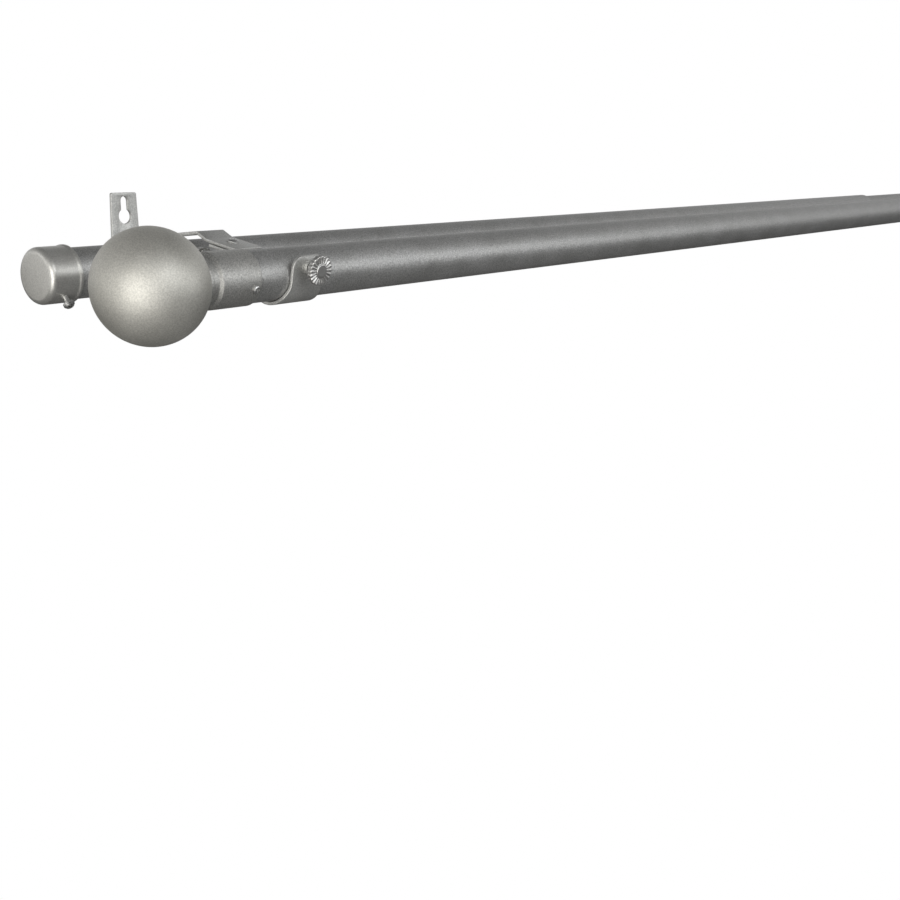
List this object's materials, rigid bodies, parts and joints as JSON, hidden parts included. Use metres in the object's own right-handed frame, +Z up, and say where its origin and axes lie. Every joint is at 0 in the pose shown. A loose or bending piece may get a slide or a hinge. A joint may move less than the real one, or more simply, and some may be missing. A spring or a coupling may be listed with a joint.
{
  "type": "double curtain rod",
  "caption": "Telescoping double curtain rod on wall brackets: back rod under bent arms, front rod in open cradles with thumbscrews, ball finials and plain end caps.",
  "frame": {"origin": "back face of the left wall plate, at the bracket's centre line and the rods' height", "axes": "+X along the rods to the right, +Y into the wall, +Z up"},
  "size_m": [1.7912, 0.1509, 0.0746],
  "materials": {
    "tube_finish": "satin pewter, fine metallic grain",
    "finial_finish": "satin pewter, warm",
    "cap_finish": "satin nickel",
    "bracket_finish": "satin nickel paint on pressed steel",
    "bright_nickel": "bright nickel plate",
    "steel_hardware": "zinc-plated steel",
    "nylon": "natural nylon"
  },
  "bodies": {
    "left_bracket": {"left_wall_plate": "bracket_finish", "left_arm": "bracket_finish", "left_foot_rivets": "bracket_finish", "left_rear_cradle": "bracket_finish", "left_cradle_rivets": "bracket_finish", "left_arm_screw": "steel_hardware", "left_arm_nut": "steel_hardware", "left_rear_boss": "bright_nickel", "left_end_cap": "cap_finish", "left_cap_screw": "steel_hardware", "back_outer_tube": "tube_finish"},
    "left_front_cradle": {"left_front_cradle": "bracket_finish", "left_front_boss": "bright_nickel"},
    "left_front_thumbscrew": {"left_front_thumbscrew": "bright_nickel"},
    "left_rear_thumbscrew": {"left_rear_thumbscrew": "bright_nickel"},
    "front_rod": {"front_outer_tube": "tube_finish", "left_finial_ball": "finial_finish", "left_finial_collar": "finial_finish", "left_finial_stud": "steel_hardware", "left_finial_screw": "steel_hardware"},
    "front_rod_extension": {"front_inner_tube": "tube_finish", "front_tube_plug": "nylon", "right_finial_ball": "finial_finish", "right_finial_collar": "finial_finish", "right_finial_stud": "steel_hardware", "right_finial_screw": "steel_hardware"},
    "right_bracket": {"right_wall_plate": "bracket_finish", "right_arm": "bracket_finish", "right_foot_rivets": "bracket_finish", "right_rear_cradle": "bracket_finish", "right_cradle_rivets": "bracket_finish", "right_arm_screw": "steel_hardware", "right_arm_nut": "steel_hardware", "right_rear_boss": "bright_nickel", "right_end_cap": "cap_finish", "right_cap_screw": "steel_hardware", "back_inner_tube": "tube_finish", "back_tube_plug": "nylon"},
    "right_front_cradle": {"right_front_cradle": "bracket_finish", "right_front_boss": "bright_nickel"},
    "right_front_thumbscrew": {"right_front_thumbscrew": "bright_nickel"},
    "right_rear_thumbscrew": {"right_rear_thumbscrew": "bright_nickel"}
  },
  "joints": [
    {"name": "left_projection", "type": "slide", "parent": "left_bracket", "child": "left_front_cradle", "axis": [0, -0.9816, -0.1908], "range_m": [-0.01, 0.004]},
    {"name": "front_rod_lift", "type": "slide", "parent": "left_front_cradle", "child": "front_rod", "axis": [0, 0, 1], "range_m": [0, 0.06]},
    {"name": "front_telescope", "type": "slide", "parent": "front_rod", "child": "front_rod_extension", "axis": [1, 0, 0], "range_m": [-0.457, 0.457]},
    {"name": "back_telescope", "type": "slide", "parent": "left_bracket", "child": "right_bracket", "axis": [1, 0, 0], "range_m": [-0.457, 0.457]},
    {"name": "right_projection", "type": "slide", "parent": "right_bracket", "child": "right_front_cradle", "axis": [0, -0.9816, -0.1908], "range_m": [-0.01, 0.004]},
    {"name": "left_front_thumbscrew_turn", "type": "hinge", "parent": "left_front_cradle", "child": "left_front_thumbscrew", "pos_m": [0, -0.14373, 0.00307], "axis": [0, -0.9848, -0.1736], "range_deg": [0, 1350]},
    {"name": "left_rear_thumbscrew_turn", "type": "hinge", "parent": "left_bracket", "child": "left_rear_thumbscrew", "pos_m": [0, -0.06123, 0.00307], "axis": [0, -0.9848, -0.1736], "range_deg": [0, 1350]},
    {"name": "right_front_thumbscrew_turn", "type": "hinge", "parent": "right_front_cradle", "child": "right_front_thumbscrew", "pos_m": [1.57, -0.14373, 0.00467], "axis": [0, -0.9848, -0.1736], "range_deg": [0, 1350]},
    {"name": "right_rear_thumbscrew_turn", "type": "hinge", "parent": "right_bracket", "child": "right_rear_thumbscrew", "pos_m": [1.57, -0.06123, 0.00467], "axis": [0, -0.9848, -0.1736], "range_deg": [0, 1350]}
  ],
  "couplings": [
    {"joint": "front_telescope", "follows": "back_telescope", "ratio": 1},
    {"joint": "right_projection", "follows": "left_projection", "ratio": 1}
  ]
}
